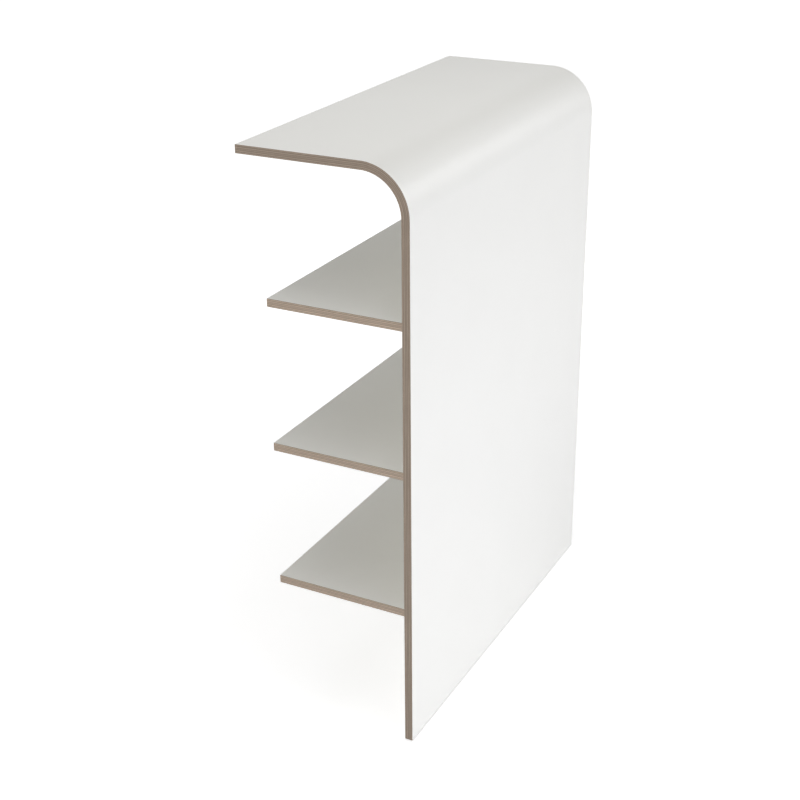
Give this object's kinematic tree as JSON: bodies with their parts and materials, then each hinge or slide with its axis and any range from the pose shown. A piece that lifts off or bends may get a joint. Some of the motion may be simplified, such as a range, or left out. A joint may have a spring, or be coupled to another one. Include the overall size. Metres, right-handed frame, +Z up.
{
  "type": "shoe rack",
  "caption": "Wall-fixed shoe rack: a white laminated plywood panel whose top bends back to the wall, with cantilevered shelves housed in its inner face.",
  "frame": {"origin": "on the floor, under the middle of the rack's length and depth", "axes": "+Z up; X along the rack's length; the panel's outer face towards -Y, the wall at +Y"},
  "size_m": [0.8, 0.318, 1.08],
  "materials": {
    "plywood": "clear matt lacquer on bare edges",
    "white_laminate": "satin white high-pressure laminate",
    "beech": "plain turned beech",
    "zinc_plated_steel": "bright zinc plate",
    "screw_steel": "zinc plate",
    "glide_plastic": "natural polyethylene"
  },
  "bodies": {
    "root": {"shell_plywood": "plywood", "shell_outer_laminate": "white_laminate", "shell_inner_laminate": "white_laminate", "upper_shelf_plywood": "plywood", "upper_shelf_top_laminate": "white_laminate", "upper_shelf_bottom_laminate": "white_laminate", "upper_shelf_dowels": "beech", "middle_shelf_plywood": "plywood", "middle_shelf_top_laminate": "white_laminate", "middle_shelf_bottom_laminate": "white_laminate", "middle_shelf_dowels": "beech", "lower_shelf_plywood": "plywood", "lower_shelf_top_laminate": "white_laminate", "lower_shelf_bottom_laminate": "white_laminate", "lower_shelf_dowels": "beech", "left_wall_bracket": "zinc_plated_steel", "right_wall_bracket": "zinc_plated_steel", "bracket_screws": "screw_steel", "floor_glides": "glide_plastic", "glide_nails": "screw_steel"}
  },
  "joints": []
}
